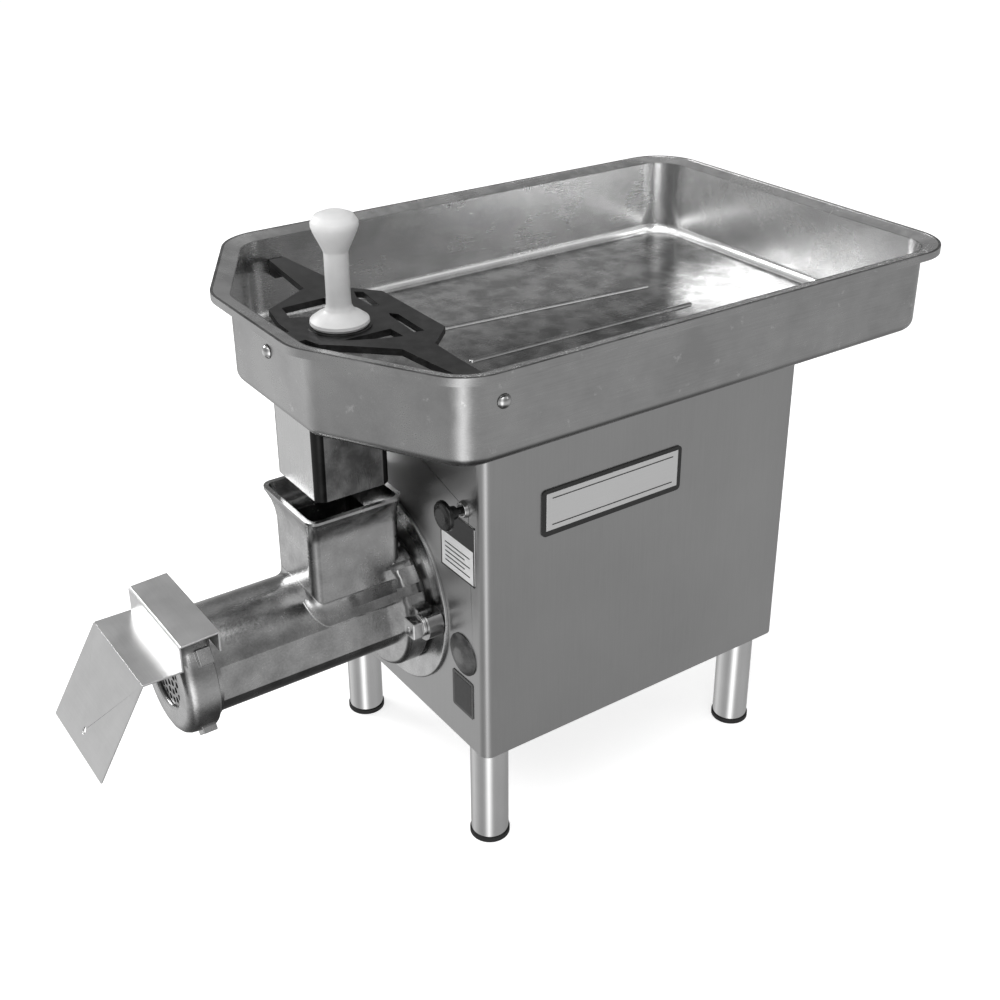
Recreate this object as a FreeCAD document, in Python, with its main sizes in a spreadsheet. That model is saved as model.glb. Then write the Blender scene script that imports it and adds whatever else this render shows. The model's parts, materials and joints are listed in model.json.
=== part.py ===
import FreeCAD, Part
import math
import os
import re
import Sketcher

# Electric meat grinder on four tube legs.  Millimetres, +Z up, outlet toward -Y.
# Positions below are given from the front sheet of the housing (Y = 0 there);
# place() moves them so that the whole part is centred on the origin.

os.makedirs("parts", exist_ok=True)
doc = FreeCAD.newDocument("grinder")
dims = doc.addObject("Spreadsheet::Sheet", "dims")

SIZES = [
    # housing
    ("body_width", 349.4), ("body_depth", 413.5), ("body_bottom", 133.3),
    ("body_top", 500.0), ("body_corner", 11.0), ("sheet", 2.0),
    # legs
    ("leg_radius", 20.65), ("leg_wall", 2.0), ("leg_inset_x", 37.4),
    ("leg_inset_front", 30.1), ("leg_inset_rear", 24.0), ("foot_radius", 21.9),
    # drive line
    ("axis_height", 252.0), ("gear_module", 2.0), ("gear_teeth", 94.0),
    ("pinion_teeth", 18.0), ("gear_face", 26.0), ("shaft_radius", 22.0),
    ("nose_radius", 70.0), ("spigot_radius", 45.0), ("case_wall", 6.0),
    ("motor_radius", 72.0), ("motor_length", 160.0), ("motor_shaft", 9.0),
    # grinding head
    ("barrel_radius", 55.5), ("bore_radius", 36.0), ("head_reach", 258.0),
    ("flange_radius", 77.0), ("flange_rise", 11.0), ("flat_half", 52.0),
    ("ear_offset", 92.0), ("ear_rise", 13.0),
    ("neck_half", 43.0), ("neck_front", 116.3), ("neck_rear", 13.0),
    ("neck_top", 397.0), ("plate_radius", 41.0), ("plate_thick", 10.0),
    ("ring_radius", 66.5), ("ring_front", 267.0), ("worm_pitch", 44.0),
    ("spout_half", 65.0), ("spout_reach", 361.0), ("spout_sheet", 2.0),
    # tray
    ("tray_half", 222.7), ("tray_front", 126.9), ("tray_reach", 558.7),
    ("tray_floor", 503.0), ("tray_height", 92.7), ("tray_sheet", 1.5),
    ("tray_corner", 37.5), ("rim_width", 18.5), ("rim_rise", 4.7),
    ("chute_half", 47.0), ("chute_front", 107.0), ("chute_rear", 24.0),
    ("chute_bottom", 412.0), ("guard_height", 565.0), ("guard_thick", 7.0),
    # pusher and switch
    ("pusher_y", -48.0), ("pusher_radius", 12.0), ("pusher_top", 687.0),
    ("knob_x", 143.5), ("knob_z", 417.5), ("knob_radius", 15.5),
]
for row, (name, size) in enumerate(SIZES, 1):
    dims.set("A%d" % row, name)
    dims.set("B%d" % row, str(size))
    dims.setAlias("B%d" % row, name)
doc.recompute()
size = {name: float(dims.get(name)) for name, _ in SIZES}

# Half the difference of the two reaches centres the part front to back.
SHIFT = "(@spout_reach - @tray_reach - @rim_width) / 2"
TURN = {
    "X": FreeCAD.Rotation(FreeCAD.Vector(0, 1, 0), 90),
    "Y": FreeCAD.Rotation(FreeCAD.Vector(1, 0, 0), -90),
    "Z": FreeCAD.Rotation(),
}
FRONT_VIEW = FreeCAD.Rotation(FreeCAD.Vector(1, 0, 0), 90)
SIDE_VIEW = FreeCAD.Rotation(FreeCAD.Vector(1, 1, 1), 120)
TOP_VIEW = FreeCAD.Rotation()
nodes = {}


def ex(text):
    """Expression text with @name written as a sheet alias."""
    return re.sub(r"@(\w+)", r"dims.\1", str(text))


def value(text):
    """The number an expression has now."""
    total = re.sub(r"@(\w+)", lambda hit: repr(size[hit.group(1)]), str(text))
    cell = "D1"
    dims.set(cell, "=" + total)
    dims.recompute()
    number = dims.get(cell)
    return float(getattr(number, "Value", number))


def bind(obj, path, text):
    obj.setExpression(path, ex(text))


def place(obj, x, y, z, turn=None):
    if turn is not None:
        obj.Placement = FreeCAD.Placement(FreeCAD.Vector(), turn)
    bind(obj, "Placement.Base.x", x)
    bind(obj, "Placement.Base.y", "(%s) + %s" % (y, SHIFT))
    bind(obj, "Placement.Base.z", z)
    return obj


def box(x, y, z):
    """Box between two limits on each axis."""
    obj = doc.addObject("Part::Box", "box")
    for prop, (low, high) in (("Length", x), ("Width", y), ("Height", z)):
        bind(obj, prop, "(%s) - (%s)" % (high, low))
    return place(obj, x[0], y[0], z[0])


def rod(axis, radius, start, length):
    obj = doc.addObject("Part::Cylinder", "rod")
    bind(obj, "Radius", radius)
    bind(obj, "Height", length)
    return place(obj, *start, TURN[axis])


def taper(axis, radius, far_radius, start, length):
    obj = doc.addObject("Part::Cone", "taper")
    bind(obj, "Radius1", radius)
    bind(obj, "Radius2", far_radius)
    bind(obj, "Height", length)
    return place(obj, *start, TURN[axis])


def ball(radius, centre):
    obj = doc.addObject("Part::Sphere", "ball")
    bind(obj, "Radius", radius)
    return place(obj, *centre)


def fuse(*parts):
    obj = doc.addObject("Part::MultiFuse", "fuse")
    obj.Shapes = list(parts)
    obj.Refine = True
    return obj


def cut(base, *tools):
    obj = doc.addObject("Part::Cut", "cut")
    obj.Base = base
    obj.Tool = tools[0] if len(tools) == 1 else fuse(*tools)
    obj.Refine = True
    return obj


def common(base, tool):
    obj = doc.addObject("Part::MultiCommon", "common")
    obj.Shapes = [base, tool]
    return obj


def group(*parts):
    obj = doc.addObject("Part::Compound", "group")
    obj.Links = list(parts)
    return obj


def outline(points, view, origin):
    """Closed polygon on a plane; each corner is held by two driven sizes."""
    sketch = doc.addObject("Sketcher::SketchObject", "outline")
    spots = [FreeCAD.Vector(value(a), value(b), 0) for a, b in points]
    count = len(spots)
    for i in range(count):
        sketch.addGeometry(Part.LineSegment(spots[i], spots[(i + 1) % count]), False)
    for i in range(count):
        sketch.addConstraint(Sketcher.Constraint("Coincident", i, 2, (i + 1) % count, 1))
    for i, (a, b) in enumerate(points):
        for kind, text, now in (("DistanceX", a, spots[i].x), ("DistanceY", b, spots[i].y)):
            at = sketch.addConstraint(Sketcher.Constraint(kind, -1, 1, i, 1, now))
            bind(sketch, "Constraints[%d]" % at, text)
    return place(sketch, *origin, view)


def offset(base, distance):
    """Offset outline, corners rounded when it grows."""
    obj = doc.addObject("Part::Offset2D", "offset")
    obj.Source = base
    bind(obj, "Value", distance)
    obj.Mode = "Skin"
    obj.Join = "Arc" if value(distance) > 0 else "Intersection"
    return obj


def rounded(points, view, origin, radius, grow="0"):
    """Polygon with every corner rounded, grown by a distance."""
    face = doc.addObject("Part::Face", "face")
    face.Sources = [outline(points, view, origin)]
    face.FaceMakerClass = "Part::FaceMakerBullseye"
    inner = offset(face, "-(%s)" % radius)
    return offset(inner, "(%s) + (%s)" % (radius, grow))


def extrude(base, direction, length):
    obj = doc.addObject("Part::Extrusion", "extrude")
    obj.Base = base
    obj.DirMode = "Custom"
    obj.Dir = FreeCAD.Vector(*direction)
    bind(obj, "LengthFwd", length)
    obj.Solid = True
    return obj


def revolve(points, height="@axis_height"):
    """Turn a profile of (y, radius) points about a line along Y."""
    sketch = outline(points, SIDE_VIEW, ("0", "0", height))
    obj = doc.addObject("Part::Revolution", "revolve")
    obj.Source = sketch
    obj.Axis = FreeCAD.Vector(0, 1, 0)
    bind(obj, "Base.z", height)
    obj.Angle = 360
    obj.Solid = True
    return obj


def spin(points, x, y):
    """Turn a profile of (radius, z) points about a line along Z."""
    sketch = outline(points, FRONT_VIEW, (x, y, "0"))
    obj = doc.addObject("Part::Revolution", "spin")
    obj.Source = sketch
    obj.Axis = FreeCAD.Vector(0, 0, 1)
    bind(obj, "Base.x", x)
    bind(obj, "Base.y", "(%s) + %s" % (y, SHIFT))
    obj.Angle = 360
    obj.Solid = True
    return obj


def loft(*sections):
    obj = doc.addObject("Part::Loft", "loft")
    obj.Sections = list(sections)
    obj.Solid = True
    obj.Ruled = True
    return obj


def fillet(base, radius, chosen):
    """Round the edges that chosen() accepts."""
    doc.recompute()
    obj = doc.addObject("Part::Fillet", "fillet")
    obj.Base = base
    picks = [i for i, edge in enumerate(base.Shape.Edges, 1) if chosen(edge)]
    if not picks:
        raise RuntimeError("no edge to round")
    obj.Edges = [(i, radius, radius) for i in picks]
    doc.recompute()
    return obj


def direction(edge):
    step = edge.Vertexes[-1].Point - edge.Vertexes[0].Point
    return step.normalize() if step.Length > 1e-6 else step


def upright(edge):
    return len(edge.Vertexes) == 2 and abs(direction(edge).z) > 0.99


def at_height(height):
    limit = value(height)
    return lambda edge: abs(edge.BoundBox.ZMin - limit) < 0.01 and edge.BoundBox.ZLength < 0.01


def at_depth(depth):
    limit = value("(%s) + %s" % (depth, SHIFT))
    return lambda edge: abs(edge.BoundBox.YMin - limit) < 0.01 and edge.BoundBox.YLength < 0.01


def mirror(base):
    obj = doc.addObject("Part::Mirroring", "mirror")
    obj.Source = base
    obj.Normal = FreeCAD.Vector(1, 0, 0)
    return obj


def node(label, obj):
    """Give a finished sub-part the name it is written under."""
    obj.Label = label
    nodes[label] = obj
    return obj


def mirrored(points):
    """A half outline from the front round to the rear, with its mirror image."""
    other = [("-(%s)" % a, b) for a, b in reversed(points)]
    return points + other


AXIS = "@axis_height"
EAR_Z = "(@axis_height + @ear_rise)"
MOTOR_Z = "(@axis_height + @gear_module * (@gear_teeth + @pinion_teeth) / 2)"
HALF = "@body_width / 2"
INSIDE = "(@body_width / 2 - @sheet)"


# ---------------------------------------------------------------- housing
def housing():
    z = ("@body_bottom", "@body_top")
    outer = fillet(box(("-" + HALF, HALF), ("0", "@body_depth"), z), size["body_corner"], upright)
    inner_z = ("@body_bottom - 1", "@body_top + 1")
    inner_y = ("@sheet", "@body_depth - @sheet")
    inner = box(("-" + INSIDE, INSIDE), inner_y, inner_z)
    inner = fillet(inner, size["body_corner"] - size["sheet"], upright)
    nose = rod("Y", "@nose_radius + 2", ("0", "-1", AXIS), "@sheet + 2")
    holes = [nose]
    for side in ("", "-"):
        holes.append(rod("Y", "15", (side + "@ear_offset", "-1", EAR_Z), "@sheet + 2"))
    holes.append(rod("Y", "6", ("@knob_x", "-1", "@knob_z"), "@sheet + 2"))
    holes.append(rod("Y", "19", ("136.5", "-1", "245"), "@sheet + 2"))
    rear = ("@body_depth - @sheet - 1", "@body_depth + 1")
    holes.append(box(("-@body_width * 0.32", "@body_width * 0.32"), rear, ("190", "440")))
    holes.append(rod("Y", "10.2", ("-@body_width * 0.37", "@body_depth - 4", "155"), "8"))
    node("housing_shell", cut(outer, inner, *holes))

    top = box(("-" + INSIDE, INSIDE), inner_y, ("@body_top - 3.5", "@body_top - 1"))
    node("housing_top", fillet(top, size["body_corner"] - size["sheet"], upright))

    base = box(("-" + INSIDE, INSIDE), inner_y, ("@body_bottom", "@body_bottom + 3"))
    base = fillet(base, size["body_corner"] - size["sheet"], upright)
    slots = []
    for i in range(7):
        y = "(190 + %d)" % (i * 16)
        slots.append(box(("-45", "45"), (y, y + " + 6"), ("@body_bottom - 1", "@body_bottom + 4")))
    for x, y in leg_spots():
        slots.append(rod("Z", "4.2", (x, y, "@body_bottom - 1"), "5"))
    node("base_plate", cut(base, *slots))


def leg_spots():
    x = "(@body_width / 2 - @leg_inset_x)"
    rear = "(@body_depth - @leg_inset_rear)"
    return [("-" + x, "@leg_inset_front"), (x, "@leg_inset_front"), ("-" + x, rear), (x, rear)]


def legs():
    bolts = []
    for name, (x, y) in zip(("fl", "fr", "rl", "rr"), leg_spots()):
        tube = rod("Z", "@leg_radius", (x, y, "3"), "@body_bottom - 3")
        hollow = rod("Z", "@leg_radius - @leg_wall", (x, y, "2"), "@body_bottom - 12")
        thread = rod("Z", "4.05", (x, y, "@body_bottom - 14"), "16")
        node("leg_" + name, cut(tube, hollow, thread))
        pad = rod("Z", "@foot_radius", (x, y, "0"), "6")
        socket = rod("Z", "@leg_radius", (x, y, "3"), "4")
        plug = rod("Z", "@leg_radius - @leg_wall", (x, y, "2"), "16")
        pad = fillet(pad, 1.0, at_height("0"))
        node("foot_" + name, fuse(cut(pad, socket), plug))
        shank = rod("Z", "4", (x, y, "@body_bottom - 9.5"), "14")
        head = rod("Z", "7", (x, y, "@body_bottom + 3"), "6")
        bolts.append(fuse(shank, head))
    node("leg_bolts", group(*bolts))


def panel_fittings():
    side = HALF
    plate = box((side, side + " + 1.6"), ("69", "248"), ("377", "428.5"))

    def across(edge):
        return len(edge.Vertexes) == 2 and abs(direction(edge).x) > 0.99

    node("nameplate", fillet(plate, 5.0, across))

    def along(edge):
        return len(edge.Vertexes) == 2 and abs(direction(edge).y) > 0.99

    label = box(("100", "160"), ("-0.8", "0"), ("336", "403"))
    node("control_label", fillet(label, 3.0, along))
    label = box(("116", "154"), ("-0.8", "0"), ("172.5", "217"))
    node("lower_label", fillet(label, 2.5, along))

    plug = revolve_at([("0", "0"), ("-6.5", "0"), ("-6", "9"), ("-3.2", "19"),
                       ("-1.2", "23.2"), ("0", "23.2")], "136.5", "245")
    stem = rod("Y", "18.9", ("136.5", "0", "245"), "8")
    node("hole_plug", fuse(plug, stem))


def revolve_at(points, x, z):
    """Turn a profile of (y, radius) points about a line along Y at x, z."""
    sketch = outline(points, SIDE_VIEW, (x, "0", z))
    obj = doc.addObject("Part::Revolution", "revolve")
    obj.Source = sketch
    obj.Axis = FreeCAD.Vector(0, 1, 0)
    bind(obj, "Base.x", x)
    bind(obj, "Base.z", z)
    obj.Angle = 360
    obj.Solid = True
    return obj


def switch():
    spot = ("@knob_x", "@knob_z")
    # Knob, neck and stem slide together in the bushing.
    disc = [("-28", "0"), ("-28", "@knob_radius * 0.55"), ("-26.5", "@knob_radius * 0.9"),
            ("-24.5", "@knob_radius"), ("-22", "@knob_radius"), ("-20.5", "@knob_radius * 0.8"),
            ("-19", "@knob_radius * 0.5"), ("-11", "@knob_radius * 0.42"), ("-11", "3.5"),
            ("22", "3.5"), ("22", "0")]
    node("switch_knob", revolve_at(disc, *spot))
    nut = revolve_at([("-5", "5.9"), ("-4.5", "8"), ("-1", "8.8"), ("0", "8.8"), ("0", "5.9")], *spot)
    node("switch_nut", nut)
    bushing = rod("Y", "5.85", ("@knob_x", "-4.8", "@knob_z"), "14")
    body = box(("@knob_x - 16", "@knob_x + 16"), ("4", "36"), ("@knob_z - 20", "@knob_z + 20"))
    bore = rod("Y", "3.56", ("@knob_x", "-6", "@knob_z"), "16.5")
    room = rod("Y", "6", ("@knob_x", "8", "@knob_z"), "24")
    node("switch_body", cut(fuse(bushing, body), bore, room))


# ---------------------------------------------------------------- drive
def escutcheon():
    inside = "@nose_radius + 14"
    rim = "@nose_radius + 39"
    profile = [("0", inside), ("-0.8", inside), ("-1.1", inside + " + 7"),
               ("-2.0", inside + " + 15"), ("-3.5", rim + " - 3"), ("-3.6", rim + " - 1.2"),
               ("-2.8", rim), ("0", rim)]
    ears = []
    for side in ("", "-"):
        ears.append(rod("Y", "15", (side + "@ear_offset", "-5", EAR_Z), "8"))
    dish = revolve(profile, "@axis_height + @flange_rise")
    node("front_flange", cut(dish, *ears))


def gear_case():
    """Cast case: nose for the grinding head, room for the gear and pinion."""
    wall = "@case_wall"
    gear_r = "(@gear_module * @gear_teeth / 2 + 8)"

    def shell(extra, y, length):
        drum = rod("Y", gear_r + extra, ("0", y, AXIS), length)
        half = "(34%s)" % extra
        head = box(("-" + half, half), (y, "(%s) + (%s)" % (y, length)),
                   (AXIS, MOTOR_Z + " + 32" + extra))
        return drum, head

    y = "@sheet"
    outer = list(shell(" + " + wall, y, "58"))
    outer.append(box(("-70", "70"), ("12", "52"), ("@body_bottom + 3", AXIS)))
    outer.append(rod("Y", "@nose_radius", ("0", "-3.6", AXIS), "12"))
    outer.append(rod("Y", "@spigot_radius", ("0", "-14", AXIS), "20"))
    for side in ("", "-"):
        outer.append(rod("Y", "14", (side + "@ear_offset", "-3.6", EAR_Z), "12"))
    inner = list(shell("", y + " + 8", "60"))
    inner.append(rod("Y", "31", ("0", "-14.1", AXIS), "26"))
    for side in ("", "-"):
        inner.append(rod("Y", "6.05", (side + "@ear_offset", "-5", EAR_Z), "13"))
    node("gear_case", cut(fuse(*outer), *inner))

    drum, head = shell(" + " + wall, "@sheet + 58", "8")
    holes = [rod("Y", "31", ("0", "@sheet + 57", AXIS), "10")]
    holes.append(rod("Y", "@motor_shaft + 0.6", ("0", "@sheet + 57", MOTOR_Z), "10"))
    node("gear_case_cover", cut(fuse(drum, head), *holes))

    bolts = []
    reach = "(@gear_module * @gear_teeth / 2 + 11)"
    for i in range(6):
        angle = math.radians(210 + 24 * i)
        x = "%.6f * %s" % (math.cos(angle), reach)
        z = "%s + %.6f * %s" % (AXIS, math.sin(angle), reach)
        bolts.append(rod("Y", "5", (x, "@sheet + 66", z), "5"))
    node("case_bolts", group(*bolts))

    front = tube_y("30.95", "@shaft_radius + 0.05", "-10", "18")
    node("front_bearing", front)
    rear = tube_y("30.95", "@shaft_radius + 0.05", "@sheet + 58", "8")
    node("rear_bearing", rear)
    node("shaft_seal", tube_y("30.95", "@shaft_radius + 0.1", "-13.8", "3.4"))


def tube_y(outer, inner, y, length, z=AXIS):
    ring = rod("Y", outer, ("0", y, z), length)
    return cut(ring, rod("Y", inner, ("0", "(%s) - 1" % y, z), "(%s) + 2" % length))


def gear_outline(teeth, thinning, turn):
    """Involute outline of a spur gear about the origin, in the XZ plane."""
    module = size["gear_module"]
    pressure = math.radians(20)
    pitch = module * teeth / 2
    base = pitch * math.cos(pressure)
    tip = pitch + 0.98 * module
    root = pitch - 1.25 * module
    half = math.pi / (2 * teeth) - thinning / (2 * pitch)
    inv = math.tan(pressure) - pressure
    flank = []
    start = max(base, root)
    if start > root:
        flank.append((root, half + inv))
    for i in range(7):
        radius = start + (tip - start) * i / 6
        angle = math.acos(min(1.0, base / radius))
        flank.append((radius, half + inv - (math.tan(angle) - angle)))
    points = []
    for tooth in range(teeth):
        centre = 2 * math.pi * tooth / teeth + turn
        for radius, angle in flank:
            points.append((radius, centre - angle))
        for radius, angle in reversed(flank):
            points.append((radius, centre + angle))
    spots = [FreeCAD.Vector(r * math.cos(a), 0, r * math.sin(a)) for r, a in points]
    return Part.Face(Part.makePolygon(spots + spots[:1]))


def gear(label, teeth, turn, centre, y, face, bore):
    blank = doc.addObject("Part::Feature", "tooth_outline")
    blank.Shape = gear_outline(teeth, 0.22, turn)
    place(blank, "0", y, centre)
    body = extrude(blank, (0, 1, 0), face)
    return cut(body, *bore)


def drive():
    teeth = int(size["gear_teeth"])
    small = int(size["pinion_teeth"])
    y = "@sheet + 20"
    bore = [rod("Y", "@shaft_radius + 0.01", ("0", y + " - 1", AXIS), "@gear_face + 2")]
    bore.append(box(("-3", "3"), (y + " - 1", y + " + @gear_face + 1"),
                    (AXIS, AXIS + " + @shaft_radius + 3.5")))
    for i in range(6):
        angle = math.radians(60 * i + 30)
        reach = 0.6 * size["gear_module"] * teeth / 2
        spot = ("%.6f" % (reach * math.cos(angle)), y + " - 1",
                AXIS + " + %.6f" % (reach * math.sin(angle)))
        bore.append(rod("Y", "16", spot, "@gear_face + 2"))
    # A tooth of the gear points at the pinion; the pinion shows it a gap.
    node("main_gear", gear("main_gear", teeth, math.pi / 2, AXIS, y, "@gear_face", bore))
    node("gear_key", box(("-2.98", "2.98"), (y, y + " + @gear_face"),
                         (AXIS + " + @shaft_radius - 2.9", AXIS + " + @shaft_radius + 3.4")))
    shaft = rod("Y", "@shaft_radius", ("0", "-22", AXIS), "@sheet + 90")
    socket = box(("-10.3", "10.3"), ("-23", "14"), (AXIS + " - 10.3", AXIS + " + 10.3"))
    keyway = box(("-3", "3"), (y + " - 2", y + " + @gear_face + 2"),
                 (AXIS + " + @shaft_radius - 3", AXIS + " + @shaft_radius + 3"))
    node("output_shaft", cut(shaft, socket, keyway))

    gap = -math.pi / 2 + math.pi / small
    pinion_bore = [rod("Y", "@motor_shaft + 0.01", ("0", y, MOTOR_Z), "@gear_face + 4")]
    node("motor_pinion", gear("motor_pinion", small, gap, MOTOR_Z, y + " + 1",
                              "@gear_face - 2", pinion_bore))
    node("motor_shaft", rod("Y", "@motor_shaft", ("0", "@sheet + 18", MOTOR_Z), "@motor_length + 210"))


def motor():
    y = "150"
    end = "150 + @motor_length"
    frame = tube_y("@motor_radius", "@motor_radius - 14", y, "@motor_length", MOTOR_Z)
    node("motor_frame", frame)
    rotor = tube_y("@motor_radius - 15", "@motor_shaft + 0.01", "162", "@motor_length - 24", MOTOR_Z)
    node("motor_rotor", rotor)
    for label, start, length, inner in (("motor_front_bell", "118", "32", "122"),
                                        ("motor_rear_bell", end, "28", end + " - 1")):
        cup = rod("Y", "@motor_radius", ("0", start, MOTOR_Z), length)
        room = rod("Y", "@motor_radius - 6", ("0", inner, MOTOR_Z), "%s - 3" % length
                   if label == "motor_front_bell" else "24")
        if label == "motor_front_bell":
            room = rod("Y", "@motor_radius - 6", ("0", "126", MOTOR_Z), "25")
        bore = rod("Y", "@motor_shaft + 0.05", ("0", "(%s) - 1" % start, MOTOR_Z), "(%s) + 2" % length)
        vents = []
        for i in range(6):
            angle = math.radians(60 * i)
            reach = "@motor_radius * 0.62"
            spot = ("%.6f * %s" % (math.cos(angle), reach), "(%s) - 1" % start,
                    "%s + %.6f * %s" % (MOTOR_Z, math.sin(angle), reach))
            vents.append(rod("Y", "9", spot, "(%s) + 2" % length))
        node(label, cut(cup, room, bore, *vents))
    blades = [tube_y("20", "@motor_shaft + 0.01", end + " + 34", "18", MOTOR_Z)]
    for i in range(4):
        turn = FreeCAD.Rotation(FreeCAD.Vector(0, 1, 0), 45 * i)
        blade = doc.addObject("Part::Box", "blade")
        bind(blade, "Length", "@motor_radius * 1.6")
        bind(blade, "Width", "14")
        bind(blade, "Height", "2.5")
        # The blade is centred on the shaft before it is turned.
        reach = turn.multVec(FreeCAD.Vector(-1, 0, 0))
        lift = turn.multVec(FreeCAD.Vector(0, 0, -1))
        place(blade, "%.6f * @motor_radius + %.6f" % (0.8 * reach.x, 1.25 * lift.x),
              end + " + 36", "%s + %.6f * @motor_radius + %.6f" % (MOTOR_Z, 0.8 * reach.z,
                                                                  1.25 * lift.z), turn)
        blades.append(blade)
    bore = rod("Y", "@motor_shaft + 0.01", ("0", end + " + 33", MOTOR_Z), "20")
    node("motor_fan", cut(fuse(*blades), bore))

    cradle = box(("-58", "58"), ("160", "140 + @motor_length"), ("@body_bottom + 3", MOTOR_Z + " - 38"))
    saddle = rod("Y", "@motor_radius + 0.01", ("0", "150", MOTOR_Z), "@motor_length + 20")
    room = box(("-52", "52"), ("150", "160 + @motor_length"),
               ("@body_bottom + 7", MOTOR_Z + " - @motor_radius - 5"))
    node("motor_cradle", cut(cradle, saddle, room))

    relay = box(("-150", "-95"), ("170", "250"), ("@body_bottom + 3", "@body_bottom + 78"))
    node("relay_box", fillet(relay, 3.0, upright))
    tank = rod("Y", "22", ("122", "180", "@body_bottom + 3 + 22.01"), "110")
    node("run_capacitor", tank)


def rear_panel():
    y = "@body_depth"
    x = "@body_width * 0.36"
    plate = box(("-" + x, x), (y, y + " + 1.5"), ("176", "454"))

    def along(edge):
        return len(edge.Vertexes) == 2 and abs(direction(edge).y) > 0.99

    plate = fillet(plate, 6.0, along)
    slots = []
    for i in range(10):
        z = "(236 + %d)" % (i * 18)
        slots.append(box(("-80", "80"), (y + " - 1", y + " + 3"), (z, z + " + 6")))
    screws = []
    for side in ("", "-"):
        for z in ("185", "315", "445"):
            screws.append(revolve_at([("@body_depth + 1.5", "0"), ("@body_depth + 4", "0"),
                                      ("@body_depth + 3.6", "2.6"), ("@body_depth + 1.5", "4.5")],
                                     side + "@body_width * 0.34", z))
    node("rear_panel", cut(plate, *slots))
    node("panel_screws", group(*screws))
    x = "-@body_width * 0.37"
    nut = rod("Y", "15", (x, y, "155"), "6")
    dome = taper("Y", "13", "9", (x, y + " + 6", "155"), "12")
    neck = rod("Y", "10", (x, y + " - 12", "155"), "13")
    bore = rod("Y", "5", (x, y + " - 13", "155"), "40")
    node("cord_gland", cut(fuse(nut, dome, neck), bore))
    rests = []
    for side in ("", "-"):
        for spot in ("60", "@body_depth - 60"):
            rests.append(rod("Z", "12", (side + "@body_width * 0.34", spot, "@body_top - 1"), "3.6"))
    node("tray_rests", group(*rests))


# ---------------------------------------------------------------- grinding head
# Angle, depth and width of each notch on the disc.
NOTCHES = ((31.0, 11.0, 11.0), (52.0, 6.0, 8.0), (68.0, 4.0, 9.0))


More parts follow.
